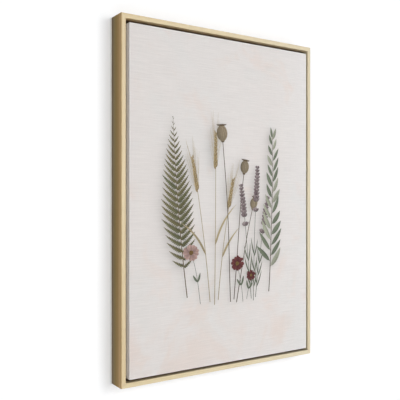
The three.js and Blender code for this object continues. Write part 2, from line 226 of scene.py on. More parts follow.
def pine(name, axis, seed):
    """Planed bare pine: wandering growth rings, resin streaks, a few small knots."""
    n = Nodes(name)
    co = object_coords(n)
    shift = (seed * 0.31, seed * 0.17, seed * 0.23)
    warp = n.noise(grained(n, axis, 9, 1.6, shift), 1.0, 2.0, 0.5)
    other = (axis + 2) % 3 if axis != 1 else 0
    sep = n.add("ShaderNodeSeparateXYZ", {"Vector": co})
    a = sep.outputs[other if other != axis else 1]
    depth = sep.outputs[1]
    r = n.math("SQRT", n.math("ADD", n.math("POWER", n.math("ADD", a, 0.031 * (1 + 0.3 * seed)), 2.0),
                              n.math("POWER", n.math("ADD", depth, 0.085), 2.0)))
    ring = n.math("ADD", n.math("MULTIPLY", r, 330.0), n.math("MULTIPLY", warp, 9.0))
    frac = n.math("FRACT", ring)
    late = n.math("POWER", frac, 2.6)
    fibre = n.noise(grained(n, axis, 1100, 16, shift), 1.0, 4.0, 0.6)
    tone = n.noise(grained(n, axis, 16, 3.0, shift), 1.0, 2.0, 0.5)
    col = n.mix(n.math("MULTIPLY", late, 0.62), lin(232, 206, 160), lin(196, 150, 96))
    col = n.mix(n.span(fibre, 0.3, 0.75, 0.0, 0.35), col, lin(240, 219, 178))
    col = n.mix(n.span(tone, 0.45, 0.8, 0.0, 0.35, True), col, lin(214, 176, 122))
    vor = n.add("ShaderNodeTexVoronoi", {"Vector": grained(n, axis, 19, 7.5, (seed * 3.1, seed * 1.3, seed * 2.2)),
                                         "Scale": 1.0, "Randomness": 1.0})
    knot = n.span(vor.outputs["Distance"], 0.05, 0.12, 1.0, 0.0, True)
    col = n.mix(n.math("MULTIPLY", knot, 0.75), col, lin(128, 84, 48))
    n.put(n.bsdf, "Base Color", col)
    n.put(n.bsdf, "Roughness", n.span(fibre, 0.2, 0.8, 0.62, 0.78))
    n.bsdf.inputs["Specular IOR Level"].default_value = 0.3
    n.put(n.bsdf, "Normal", n.bump(n.math("ADD", fibre, n.math("MULTIPLY", late, 0.6)), 0.3, 0.0003))
    return n.mat


def metal(name, light, dark, rough, grain=(900, 900, 900)):
    n = Nodes(name)
    co = object_coords(n)
    cloud = n.noise(n.mapping(co, grain), 1.0, 3.0, 0.55)
    spots = n.noise(n.mapping(co, (260, 260, 260)), 1.0, 2.0, 0.5)
    col = n.mix(n.span(cloud, 0.3, 0.7), lin(*dark), lin(*light))
    col = n.mix(n.span(spots, 0.60, 0.78, 0.0, 0.22, True), col, lin(*[c * 0.80 for c in dark]))
    n.put(n.bsdf, "Base Color", col)
    n.bsdf.inputs["Metallic"].default_value = 1.0
    n.put(n.bsdf, "Roughness", n.span(cloud, 0.2, 0.8, rough - 0.07, rough + 0.09))
    n.put(n.bsdf, "Normal", n.bump(cloud, 0.12, 0.0001))
    return n.mat


def rubber(name):
    n = Nodes(name)
    co = object_coords(n)
    dust = n.noise(n.mapping(co, (420, 420, 420)), 1.0, 4.0, 0.6)
    fine = n.noise(n.mapping(co, (2600, 2600, 2600)), 1.0, 2.0, 0.5)
    col = n.mix(n.span(dust, 0.42, 0.72, 0.0, 0.5, True), lin(62, 60, 58), lin(96, 92, 87))
    n.put(n.bsdf, "Base Color", col)
    n.put(n.bsdf, "Roughness", n.span(dust, 0.3, 0.7, 0.62, 0.8))
    n.put(n.bsdf, "Normal", n.bump(fine, 0.25, 0.00012))
    return n.mat


def dress(node, material):
    ob = NODES[node]
    if not ob.material_slots:
        ob.data.materials.append(material)
    for s in ob.material_slots:
        s.link = "OBJECT"
        s.material = material


X_OUT, Z_TOP, Z_BOT = OUT_W / 2 * MM, (MID_Z + OUT_H / 2) * MM, (MID_Z - OUT_H / 2) * MM
dress("rail_left", frame_wood("frame_wood_left", 2, 1.0, 0, -1, -X_OUT, REBATE_LIGHT_SHADE_LEFT))
dress("rail_right", frame_wood("frame_wood_right", 2, 4.0, 0, 1, X_OUT, REBATE_LIGHT_SHADE_RIGHT))
dress("rail_top", frame_wood("frame_wood_top", 0, 7.0, 2, 1, Z_TOP, REBATE_LIGHT_SHADE_TOP, rebate_gloss=0.10))
dress("rail_bottom", frame_wood("frame_wood_bottom", 0, 11.0, 2, -1, Z_BOT, REBATE_LIGHT_SHADE_BOTTOM, (1.065, 1.105, 1.15), 0.10))
dress("stretcher_left", pine("pine_left", 2, 1.0))
dress("stretcher_right", pine("pine_right", 2, 2.0))
dress("stretcher_top", pine("pine_top", 0, 3.0))
dress("stretcher_bottom", pine("pine_bottom", 0, 4.0))
steel = metal("fixing_steel", (206, 209, 213), (186, 189, 194), 0.40)
zinc = metal("screw_zinc", (216, 208, 182), (200, 190, 158), 0.36)
brass = metal("hanger_brass", (220, 188, 120), (204, 170, 102), 0.38, (1500, 1500, 1500))
rub = rubber("pad_rubber")
for name in NODES:
    if name.startswith(("staple_", "vnail_")):
        dress(name, steel)
    elif name.startswith("screw_"):
        dress(name, zinc)
    elif name.startswith("hanger"):
        dress(name, brass)
    elif name.startswith("bumper_"):
        dress(name, rub)

# ------------------------------------------------------------------ the print: outlines in millimetres about the panel's centre
rng = np.random.default_rng(20517)
SHAPES = []      # outline, colour function; later ones lie on top


def rot(a):
    return np.array([math.cos(a), math.sin(a)])


def path(p0, ang, length, bend, n=14, wave=0.0, phase=0.0):
    """Points along a stem that starts at p0 in direction ang and turns by bend over its length."""
    s = np.linspace(0, 1, n)
    a = ang + bend * s + wave * np.sin(6.3 * s + phase)
    step = np.stack([np.cos(a), np.sin(a)], 1) * (length / (n - 1))
    return np.vstack([[p0], np.asarray(p0) + np.cumsum(step[:-1], 0)]), a


def at(pts, ang, s):
    """Point and direction at share s of a path."""
    x = s * (len(pts) - 1)
    i = min(int(x), len(pts) - 2)
    f = x - i
    return pts[i] * (1 - f) + pts[i + 1] * f, ang[i] * (1 - f) + ang[i + 1] * f


def mottled(P, scale, seed):
    x, y = P[:, 0] / scale + seed, P[:, 1] / scale - seed * 1.7
    return (np.sin(2.1 * x + 1.3 * np.sin(1.7 * y)) + np.sin(1.3 * y - 1.9 * np.sin(1.1 * x + 0.5)) +
            0.6 * np.sin(4.7 * x + 3.1 * y)) / 2.6


def shade_between(p0, p1, c0, c1, side=0.10, mott=0.08, seed=0.0, scale=7.0):
    """Colour runs from c0 at p0 to c1 at p1, one half lighter than the other, with a slow mottle."""
    p0, p1 = np.asarray(p0, float), np.asarray(p1, float)
    d = p1 - p0
    L = max(np.hypot(*d), 1e-6)
    d = d / L
    w = max(0.06 * L, 0.8)

    def f(P):
        q = P - p0
        s = np.clip((q @ d) / L, 0, 1)[:, None]
        t = np.clip((q[:, 0] * -d[1] + q[:, 1] * d[0]) / w, -1, 1)[:, None]
        k = 1 + side * t + mott * mottled(P, scale, seed)[:, None]
        return np.clip((c0 * (1 - s) + c1 * s) * k, 0, 1)
    return f


def flat(c, mott=0.06, seed=0.0, scale=5.0):
    return lambda P: np.clip(c * (1 + mott * mottled(P, scale, seed)[:, None]), 0, 1)


def ink(points, colour):
    p = np.asarray(points, float)
    keep = np.hypot(*(p - np.roll(p, 1, 0)).T) > 0.03
    p = p[keep]
    if len(p) >= 3:
        area2 = (p[:, 0] * np.roll(p[:, 1], -1) - p[:, 1] * np.roll(p[:, 0], -1)).sum()
        SHAPES.append((p if area2 > 0 else p[::-1], colour))


def outline(pts, half):
    """Closed outline of a strip whose half width varies along its points."""
    d = np.gradient(pts, axis=0)
    d /= np.maximum(np.hypot(d[:, 0], d[:, 1]), 1e-9)[:, None]
    nrm = np.stack([-d[:, 1], d[:, 0]], 1)
    half = np.asarray(half)[:, None]
    return np.vstack([pts + nrm * half, (pts - nrm * half)[::-1]])


def stem(pts, w0, w1, c0, c1, side=0.22):
    s = np.linspace(0, 1, len(pts))
    ink(outline(pts, np.maximum(w0 * (1 - s) + w1 * s, 0.18) / 2),
        stem_colour(pts, w0, c0, c1, side))


def stem_colour(pts, w, c0, c1, side):
    def f(P):
        d2 = ((P[:, None, :] - pts[None]) ** 2).sum(2)
        i = d2.argmin(1)
        s = (i / (len(pts) - 1))[:, None]
        j = np.clip(i, 0, len(pts) - 2)
        t = pts[j + 1] - pts[j]
        t /= np.maximum(np.hypot(t[:, 0], t[:, 1]), 1e-9)[:, None]
        q = P - pts[i]
        off = np.clip((q[:, 0] * -t[:, 1] + q[:, 1] * t[:, 0]) / max(w * 0.5, 0.2), -1, 1)[:, None]
        return np.clip((c0 * (1 - s) + c1 * s) * (1 - side * off + 0.07 * mottled(P, 9.0, 1.1)[:, None]), 0, 1)
    return f


def leaf(p0, ang, length, width, bend, c0, c1, a=0.9, b=1.1, n=10, rib=None, rib_w=0.5, seed=0.0, side=0.1):
    pts, ang_s = path(p0, ang, length, bend, n)
    s = np.linspace(0, 1, n)
    w = (s ** a) * ((1 - s) ** b)
    w = w / w.max() * width / 2
    w[0], w[-1] = 0.16, 0.08
    ink(outline(pts, w), shade_between(pts[0], pts[-1], c0, c1, side, 0.09, seed))
    if rib is not None:
        m = max(4, n // 2 + 1)
        q, _ = path(p0, ang, length * 0.93, bend * 0.93, m)
        ink(outline(q, np.linspace(rib_w, 0.14, m) / 2), flat(rib, 0.04))
    return pts, ang_s


def blob(c, rx, ry, turn, colour, n=12, wob=0.0):
    t = np.linspace(0, 2 * math.pi, n, endpoint=False)
    k = 1 + wob * np.sin(3 * t + 1.1 * c[0])
    p = np.stack([rx * k * np.cos(t), ry * k * np.sin(t)], 1)
    R = np.array([[math.cos(turn), -math.sin(turn)], [math.sin(turn), math.cos(turn)]])
    ink(p @ R.T + np.asarray(c), colour)


def u(lo, hi):
    return float(rng.uniform(lo, hi))


# -- fern frond
def fern(p0, ang, length, bend, reach, pairs, c_base, c_tip, c_rib):
    pts, a = path(p0, ang, length, bend, 36)
    for k in range(pairs):
        s = 0.17 + 0.815 * (k / (pairs - 1)) ** 0.93
        body = math.sin(math.pi * min(1.0, (s - 0.06) / 0.94) ** 0.72)
        for sgn in (-1, 1):
            ss = min(0.995, s + (0.008 if sgn > 0 else 0))
            p, d = at(pts, a, ss)
            L = max(3.0, reach * body * u(0.92, 1.06))
            lean = 1.22 - 0.45 * s
            n = max(4, int(L / 3.4))
            q, qa = path(p, d + sgn * lean, L, -sgn * 0.30, 2 * n + 1)
            t = np.linspace(0, 1, 2 * n + 1)
            base = L * 0.15 * (1 - t ** 1.6) + 0.25
            comb = np.where(np.arange(2 * n + 1) % 2 == 1, 1.0, 0.42)
            w = base * comb
            w[0], w[-1] = 0.3, 0.1
            # the teeth lean towards the tip
            dd = np.gradient(q, axis=0)
            dd /= np.hypot(dd[:, 0], dd[:, 1])[:, None]
            nn = np.stack([-dd[:, 1], dd[:, 0]], 1)
            tip = dd * (comb == 1.0)[:, None] * (w * 0.55)[:, None]
            line = np.vstack([q + nn * w[:, None] + tip, (q - nn * w[:, None] + tip)[::-1]])
            mixk = np.clip(s + u(-0.14, 0.14), 0, 1)
            col = c_base * (1 - mixk) + c_tip * mixk
            col = col + (DRY - col) * u(0.0, 0.30)
            tip_col = col * 1.12 + (DRY - col) * u(0.0, 0.4)
            ink(line, shade_between(q[0], q[-1], col * 0.86, tip_col, 0.16, 0.16, u(0, 9), 4.0))
            if L > 9:
                ink(outline(q[::2], np.linspace(0.42, 0.12, n + 1) / 2), flat(c_rib * 0.95, 0.03))
    stem(pts, 2.0, 0.5, c_rib * 0.72, c_rib)


# -- bearded barley ear on a straw
def barley(p0, ang, length, bend, ear, c_straw, c_grain, c_awn, awn=52):
    pts, a = path(p0, ang, length, bend, 26)
    stem(pts, 1.7, 1.0, c_straw * 0.86, c_straw)
    rows = int(ear / 3.3)
    s0 = 1 - ear / length
    grains = []
    for k in range(rows):
        f = k / (rows - 1)
        p, d = at(pts, a, s0 + (1 - s0) * f)
        sgn = -1 if k % 2 else 1
        fan = sgn * (0.30 - 0.14 * f)
        off = np.array([-math.sin(d), math.cos(d)]) * sgn * 1.5
        al = awn * u(0.8, 1.1) * (0.72 + 0.28 * (1 - f))
        q, _ = path(p + off + rot(d + fan) * 6.0, d + fan * u(0.6, 1.1), al, -sgn * 0.10 * u(0.2, 1.4), 7)
        ink(outline(q, np.linspace(0.66, 0.20, 7) / 2), shade_between(q[0], q[-1], c_awn * 0.82, c_awn * 1.04, 0.0, 0.05))
        grains.append((p + off * 0.5, d + fan, u(9.2, 11.4) * (1 - 0.25 * f), u(3.6, 4.4) * (1 - 0.22 * f), u(0.9, 1.1)))
    for p, d, L, W, k in grains:
        leaf(p, d, L, W, 0.0, c_grain * 0.78 * k, c_grain * 1.12 * k, 0.7, 0.8, 8, c_grain * 0.62, 0.4, u(0, 5), 0.2)
    # one long dry blade on the straw
    p, d = at(pts, a, u(0.30, 0.42))
    sgn = 1 if rng.random() < 0.5 else -1
    leaf(p, d + sgn * 0.28, length * u(0.26, 0.34), 4.2, sgn * u(0.4, 0.9), c_straw * 0.82, c_straw * 1.08, 0.35, 0.9, 12,
         c_straw * 0.7, 0.4, u(0, 5), 0.14)


# -- poppy seed head
def poppy(p0, ang, length, bend, r, c_stem, c_pod, c_crown):
    pts, a = path(p0, ang, length, bend, 26, 0.02, p0[0])
    stem(pts, 1.9, 1.35, c_stem * 0.88, c_stem)
    p, d = pts[-1], a[-1]
    ax, nx = rot(d), np.array([-math.sin(d), math.cos(d)])
    # small collar, round pod, ribs, then the scalloped crown
    ink(outline(np.array([p - ax * 1.2, p + ax * 0.9, p + ax * 2.2]), [r * 0.16, r * 0.34, r * 0.30]), flat(c_crown * 1.1))
    c = p + ax * (r * 1.15 + 1.6)
    t = np.linspace(0, 2 * math.pi, 30, endpoint=False)
    rad = r * (1 + 0.05 * np.cos(2 * t))
    pod = c + np.outer(rad * np.cos(t) * 1.13, ax) + np.outer(rad * np.sin(t), nx)

    def pod_col(P):
        q = P - c
        x, y = q @ nx / r, q @ ax / (1.13 * r)
        k = 1.10 - 0.34 * x - 0.30 * (x ** 2 + 0.5 * y ** 2) + 0.10 * y + 0.07 * mottled(P, 3.4, r)
        return np.clip(c_pod * k[:, None], 0, 1)
    ink(pod, pod_col)
    for e in (-0.72, -0.38, 0.0, 0.38, 0.72):
        v = np.linspace(-0.93, 0.93, 9)
        line = c + np.outer(v * r * 1.12 * math.sqrt(1 - 0.55 * e * e), ax) + np.outer(e * r * np.sqrt(np.maximum(1 - v ** 2, 0.02)), nx)
        ink(outline(line, 0.34 * np.sqrt(np.maximum(1 - v ** 2, 0.05)) + 0.06), flat(c_pod * (0.66 + 0.10 * e), 0.04))
    top = c + ax * r * 1.12
    m = 9
    tt = np.linspace(-1, 1, 2 * m + 1)
    up = np.where(np.arange(2 * m + 1) % 2 == 1, 3.4, 1.9)
    crown = np.vstack([top + np.outer(tt * r * 0.92, nx) + np.outer(up * (1 - 0.25 * tt ** 2), ax),
                       (top + np.outer(tt * r * 0.70, nx) - np.outer(0.9 * (1 - tt ** 2), ax))[::-1]])
    ink(crown, shade_between(top - nx * r, top + nx * r, c_crown * 1.12, c_crown * 0.84, 0.0, 0.08))
    for e in np.linspace(-0.75, 0.75, 6):
        ink(outline(np.array([top + nx * r * e * 0.8, top + nx * r * e * 0.95 + ax * 2.2]), [0.22, 0.2]), flat(c_crown * 0.6))


# -- lavender spike: whorls of small calyces, each with a paler open floret here and there
def lavender(p0, ang, length, bend, spike, c_stem, c_a, c_b):
    pts, a = path(p0, ang, length, bend, 24, 0.015, p0[0])
    for s, sgn in ((0.10, 1), (0.13, -1), (0.21, 1), (0.235, -1), (0.33, 1), (0.35, -1)):
        p, d = at(pts, a, s)
        leaf(p, d - sgn * 0.34, u(26, 38), 2.7, sgn * 0.25, c_stem * 0.88, c_stem * 1.16, 0.5, 0.9, 9, c_stem * 0.7, 0.35, u(0, 5))
    stem(pts, 1.3, 0.9, c_stem * 0.84, c_stem)
    n = int(spike / 5.6)
    s0 = 1 - spike / length
    for k in range(n):
        f = k / (n - 1)
        s = s0 + (1 - s0) * f - (0.05 if k == 0 else 0.0)
        p, d = at(pts, a, min(s, 0.999))
        nx = np.array([-math.sin(d), math.cos(d)])
        full = 1 - 0.52 * f ** 1.6
        for e in (-1.0, 1.0, -0.62, 0.62, -0.25, 0.25):
            c = c_a + (c_b - c_a) * u(0.0, 1.0)
            q = p + nx * e * 2.5 * full
            leaf(q, d + e * 0.62 + u(-0.12, 0.12), u(7.6, 9.6) * (1 - 0.30 * f), u(3.2, 4.1) * (1 - 0.2 * f), 0.0,
                 c * 0.74, c * 1.20, 0.75, 0.5, 8, c * 0.66 if abs(e) < 0.7 else None, 0.4, u(0, 5), 0.18)
        if k % 2 == 0 and f < 0.8:
            e = u(-1, 1)
            c = p + nx * e * 4.6 * full + rot(d) * 6.5
            for j in range(4):
                t = d + math.pi / 2 * j + u(-0.3, 0.3)
                leaf(c, t, 2.9, 2.1, 0.0, c_a * 0.95, c_a * 1.4, 0.5, 0.4, 6, None, 0.4, u(0, 5), 0.1)


# -- sprig of long narrow leaves
def sprig(p0, ang, length, bend, count, c_stem, c_top, c_under):
    pts, a = path(p0, ang, length, bend, 30, 0.03, 0.6)
    order = list(range(count))
    draw = []
    for k in order:
        f = k / (count - 1)
        s = 0.16 + 0.82 * f
        p, d = at(pts, a, s)
        sgn = -1 if k % 2 else 1
        L = (46 - 24 * f) * u(0.86, 1.1)
        W = (10.0 - 3.6 * f) * u(0.85, 1.12)
        lean = (0.80 - 0.34 * f) * u(0.82, 1.15)
        c = c_under if rng.random() < 0.32 else c_top
        c = c * u(0.9, 1.12)
        draw.append((p, d - sgn * lean, L, W, sgn * u(-0.05, 0.42), c))
    for p, d, L, W, b, c in draw:
        q = p + rot(d) * 2.4
        ink(outline(np.array([p, p + rot(d) * 1.3, q + rot(d)]), [0.42, 0.38, 0.34]), flat(c_stem))
        leaf(q, d, L, W, b, c * 0.86, c * 1.10, 0.72, 0.95, 14, c * 1.36, 0.55, u(0, 9), 0.13)
    p, d = pts[-1], a[-1]
    leaf(p, d + 0.05, 20, 5.4, 0.1, c_top * 0.9, c_top * 1.15, 0.72, 0.95, 12, c_top * 1.35, 0.45)
    stem(pts, 2.0, 0.7, c_stem * 0.8, c_stem)


# -- small pressed daisy
def daisy(p0, ang, length, bend, r, petals, c_stem, c_petal, c_eye, tilt=0.0):
    pts, a = path(p0, ang, length, bend, 18, 0.03, p0[1])
    stem(pts, 1.1, 0.8, c_stem * 0.85, c_stem)
    c = pts[-1]
    for k in range(petals):
        t = 2 * math.pi * (k * 5 % petals) / petals + tilt + u(-0.1, 0.1)
        L = r * u(0.88, 1.06) * (1 - 0.14 * abs(math.sin(t)))
        k1 = u(0.86, 1.14)
        leaf(c + rot(t) * r * 0.16, t, L * 0.86, r * u(0.36, 0.44), u(-0.18, 0.18), c_petal * 0.66 * k1, c_petal * 1.10 * k1,
             0.55, 0.34, 10, c_petal * 0.58 * k1, 0.4, u(0, 5), 0.13)
    blob(c, r * 0.25, r * 0.24, 0.3, flat(c_eye * 0.7, 0.14, 0.4, 1.2), 16, 0.05)
    for k in range(22):
        rr, t = r * 0.22 * math.sqrt((k + 0.5) / 22), k * 2.39996
        blob(c + rot(t) * rr, 0.55, 0.5, 0.0, flat(c_eye * u(0.8, 1.5)), 6)
    p, d = at(pts, a, 0.42)
    for sgn in (-1, 1):
        leaf(p, d - sgn * 0.6, u(15, 21), 4.2, sgn * 0.3, c_stem * 0.9, c_stem * 1.15, 0.7, 0.8, 9, c_stem * 0.7, 0.35, u(0, 5))


OLIVE, MOSS, SAGE = lin(112, 114, 84), lin(88, 95, 74), lin(116, 124, 106)
PALE_SAGE, STRAW, GRAIN = lin(160, 163, 146), lin(176, 162, 128), lin(166, 147, 110)
AWN, TWIG, POD = lin(182, 167, 132), lin(98, 87, 72), lin(146, 133, 112)
CROWN, MAUVE, PLUM = lin(104, 90, 73), lin(150, 138, 138), lin(112, 97, 101)
WINE, ROSE, EYE = lin(112, 64, 65), lin(178, 150, 143), lin(124, 100, 62)
DRY = lin(138, 118, 84)

D = math.radians
fern((-86, -172), D(98), 322, -0.10, 43, 25, MOSS, OLIVE, lin(118, 104, 74))
barley((-37, -184), D(95.5), 262, 0.10, 60, STRAW, GRAIN, AWN)
barley((-27, -190), D(89.0), 312, 0.02, 64, STRAW, GRAIN, AWN)
barley((-19, -182), D(84.5), 222, -0.12, 54, STRAW * 0.96, GRAIN * 0.95, AWN)
poppy((9, -188), D(92.0), 298, 0.05, 12.5, TWIG, POD, CROWN)
poppy((17, -184), D(86.0), 236, -0.06, 10.5, TWIG, POD * 0.92, CROWN)
poppy((23, -190), D(80.5), 178, -0.10, 9.2, TWIG * 1.06, POD * 1.05, CROWN)
lavender((58, -186), D(95.0), 214, 0.05, 64, SAGE * 0.9, MAUVE, PLUM)
lavender((63, -190), D(88.5), 252, -0.03, 70, SAGE * 0.9, MAUVE, PLUM)
lavender((68, -184), D(83.0), 190, -0.08, 58, SAGE * 0.9, MAUVE, PLUM)
sprig((101, -176), D(84.0), 300, 0.16, 25, TWIG, SAGE, PALE_SAGE)
daisy((-58, -186), D(97), 96, 0.18, 17.5, 13, SAGE * 0.85, ROSE, EYE, 0.2)
daisy((38, -190), D(96), 74, 0.16, 16.5, 12, SAGE * 0.85, WINE, EYE, 0.5)
daisy((47, -186), D(80), 46, -0.12, 12.0, 11, SAGE * 0.85, WINE * 0.86, EYE, 0.1)

# ------------------------------------------------------------------ soft printed shadow: coverage, moved and blurred
NX, NZ = 401, 601


def coverage():
    g = np.zeros((NZ, NX), np.float32)
    for p, _ in SHAPES:
        x, z = p[:, 0] + 200.0, p[:, 1] + 300.0
        lo, hi = max(0, int(math.ceil(z.min()))), min(NZ - 1, int(math.floor(z.max())))
        if hi < lo:   # thinner than a cell: mark its middle
            g[int(np.clip(round(z.mean()), 0, NZ - 1)), int(np.clip(round(x.mean()), 0, NX - 1))] = 0.5
            continue
        x2, z2 = np.roll(x, -1), np.roll(z, -1)
        for r in range(lo, hi + 1):
            hit = (z <= r) != (z2 <= r)
            if hit.any():
                xs = np.sort(x[hit] + (r - z[hit]) / (z2[hit] - z[hit]) * (x2[hit] - x[hit]))
                for a, b in zip(xs[::2], xs[1::2]):
                    i, j = int(math.ceil(a)), int(math.floor(b))
                    if j >= i:
                        g[r, max(i, 0):min(j, NX - 1) + 1] = 1.0
                    else:
                        k = int(np.clip(round((a + b) / 2), 0, NX - 1))
                        g[r, k] = max(g[r, k], min(1.0, b - a))
    return g


def blur(g, sigma):
    k = np.arange(-int(3 * sigma) - 1, int(3 * sigma) + 2)
    w = np.exp(-0.5 * (k / sigma) ** 2)
    w /= w.sum()
    for axis in (0, 1):
        g = np.apply_along_axis(lambda v: np.convolve(v, w, "same"), axis, g)
    return g


def moved(g, dx, dz):
    return np.roll(np.roll(g, int(dx), 1), int(dz), 0)


cover = coverage()
shadow = 0.42 * moved(blur(cover, 1.8), -3, -1) + 0.62 * moved(blur(cover, 5.5), -8, -3) + 0.40 * moved(blur(cover, 13.0), -13, -5)
shadow = 1 - np.exp(-1.15 * shadow)


def sample(g, P):
    x = np.clip(P[:, 0] + 200.0, 0, NX - 1.001)
    z = np.clip(P[:, 1] + 300.0, 0, NZ - 1.001)
    i, j = x.astype(int), z.astype(int)
    fx, fz = x - i, z - j
    return (g[j, i] * (1 - fx) * (1 - fz) + g[j, i + 1] * fx * (1 - fz) +
            g[j + 1, i] * (1 - fx) * fz + g[j + 1, i + 1] * fx * fz)


# ------------------------------------------------------------------ front of the canvas, cut along every inked outline
def ring_points(step):
    """The flat front's border, once round, with its outward directions. Each corner is a fan of directions at one point."""
    nx, nz = int(round(2 * FX / step)), int(round(2 * FZ / step))
    loop = []      # x, z, direction, side
    fan = 5
    spots = [((-FX, -FZ), (-FX, FZ), nz, math.pi, "left"), ((-FX, FZ), (FX, FZ), nx, math.pi / 2, "top"),
             ((FX, FZ), (FX, -FZ), nz, 0.0, "right"), ((FX, -FZ), (-FX, -FZ), nx, -math.pi / 2, "bottom")]
    for a, b, n, d, side in spots:
        for i in range(n + 1):
            f = i / n
            loop.append((a[0] * (1 - f) + b[0] * f, a[1] * (1 - f) + b[1] * f, d, side))
        for k in range(1, fan):
            loop.append((b[0], b[1], d - (math.pi / 2) * k / fan, "corner"))
    return loop


LOOP = ring_points(5.0)
base_ids, base_pts = [], []       # loop entry to border point: a corner's fan shares one
for i, (x, z, d, side) in enumerate(LOOP):
    if base_pts and abs(base_pts[-1][0] - x) < 1e-9 and abs(base_pts[-1][1] - z) < 1e-9:
        base_ids.append(len(base_pts) - 1)
    elif base_pts and i > 10 and abs(base_pts[0][0] - x) < 1e-9 and abs(base_pts[0][1] - z) < 1e-9:
        base_ids.append(0)
    else:
        base_ids.append(len(base_pts))
        base_pts.append((x, z))
NB = len(base_pts)


def triangulated(shapes, grid, jitter):
    """Triangles over the flat front, split along the outlines. Returns points, triangles, and each triangle's top shape or -1."""
    verts = [Vector(p) for p in base_pts]
    edges = [(i, (i + 1) % NB) for i in range(NB)]
    faces = []
    for p, _ in shapes:
        k = len(verts)
        verts.extend(Vector(q) for q in p)
        faces.append(list(range(k, k + len(p))))
    r = np.random.default_rng(7)
    gx = np.arange(-FX + grid, FX - grid * 0.4, grid)
    gz = np.arange(-FZ + grid, FZ - grid * 0.4, grid)
    for j, z in enumerate(gz):
        for x in gx:
            dx, dz = r.uniform(-jitter, jitter, 2)
            verts.append(Vector((x + dx + (grid * 0.25 if j % 2 else -grid * 0.25), z + dz)))
    v, e, f, ov, oe, of_ = delaunay_2d_cdt(verts, edges, faces, 0, 1e-3, True)
    P = np.array([(q[0], q[1]) for q in v])
    T = np.array([list(t) for t in f], int)
    top = np.array([max(o) if len(o) else -1 for o in of_], int)
    new_of_old = {}
    for new, olds in enumerate(ov):
        for o in olds:
            if o < NB:
                new_of_old[o] = new
    return P, T, top, [new_of_old[i] for i in range(NB)]


P0, T0, top0, border0 = triangulated(SHAPES, 4.0, 0.7)
P1, T1, _, border1 = triangulated([], 20.0, 0.0)


def facing(P, T):
    """All triangles wound the same way, counter-clockwise in x, z."""
    a, b, c = P[T[:, 0]], P[T[:, 1]], P[T[:, 2]]
    s = (b[:, 0] - a[:, 0]) * (c[:, 1] - a[:, 1]) - (b[:, 1] - a[:, 1]) * (c[:, 0] - a[:, 0])
    T = T.copy()
    T[s < 0] = T[s < 0][:, ::-1]
    return T[np.abs(s) > 1e-9], np.abs(s) > 1e-9


T0, ok = facing(P0, T0)
top0 = top0[ok]
T1, _ = facing(P1, T1)
print("print:", len(SHAPES), "shapes,", len(P0), "points,", len(T0), "triangles")

# ------------------------------------------------------------------ the whole sheet: front, rounded edges, sides, back margins
VERTS, FACES, MATS, WEAVE, BAKE, INK, ALPHA = [], [], [], [], [], [], []
SHADE = []


def vert(x, y, z, shade=0.0):
    VERTS.append((x, y, z))
    SHADE.append(shade)
    return len(VERTS) - 1


def face(ids, mat, weave, bake, colour=None):
    FACES.append(ids)
    MATS.append(mat)
    WEAVE.append(weave)
    BAKE.append(bake)
    INK.append(colour)


def bake_front(x, z):
    return (0.012 + (x + 200) / 400 * 0.640, 0.015 + (z + 300) / 600 * 0.960)


def bake_inner(x, z):
    return (0.800 + (x + 200) / 400 * 0.185, 0.600 + (z + 300) / 600 * 0.2775)


STRIP = {"left": (0.665, 0.010), "right": (0.665, 0.505), "top": (0.732, 0.010), "bottom": (0.732, 0.345), "corner": (0.732, 0.68)}
STRIP_RAW = {"left": (0.800, 0.020), "right": (0.800, 0.270), "top": (0.865, 0.020), "bottom": (0.865, 0.190), "corner": (0.865, 0.360)}


